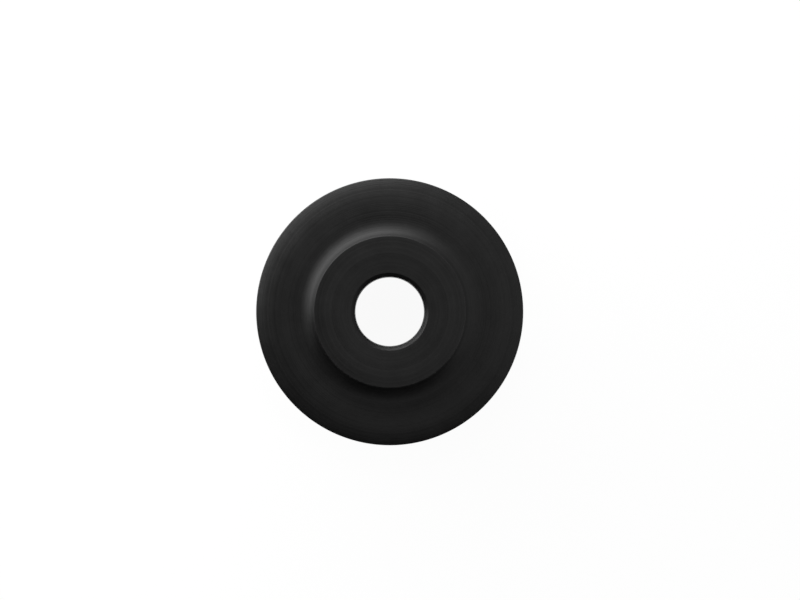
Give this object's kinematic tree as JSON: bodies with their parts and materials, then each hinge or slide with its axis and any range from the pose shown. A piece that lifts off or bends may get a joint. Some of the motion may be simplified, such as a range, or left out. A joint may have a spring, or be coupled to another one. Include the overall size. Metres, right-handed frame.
{
  "type": "pipe cutter wheel",
  "caption": "Solid hardened steel cutting wheel for a pipe cutter: wide plain hub with a through bore, and a thin blade that arches down to a sharp rim.",
  "frame": {"origin": "middle of the bore, in the plane of the cutting edge", "axes": "+Z along the axle, out of one hub face; X and Y lie in the plane of the cutting edge; the wheel stands on the hub face that looks along -Z"},
  "size_m": [0.032, 0.032, 0.019],
  "materials": {
    "black_oxide_steel": "black oxide, satin"
  },
  "bodies": {
    "root": {"cutter_wheel": "black_oxide_steel"}
  },
  "joints": []
}
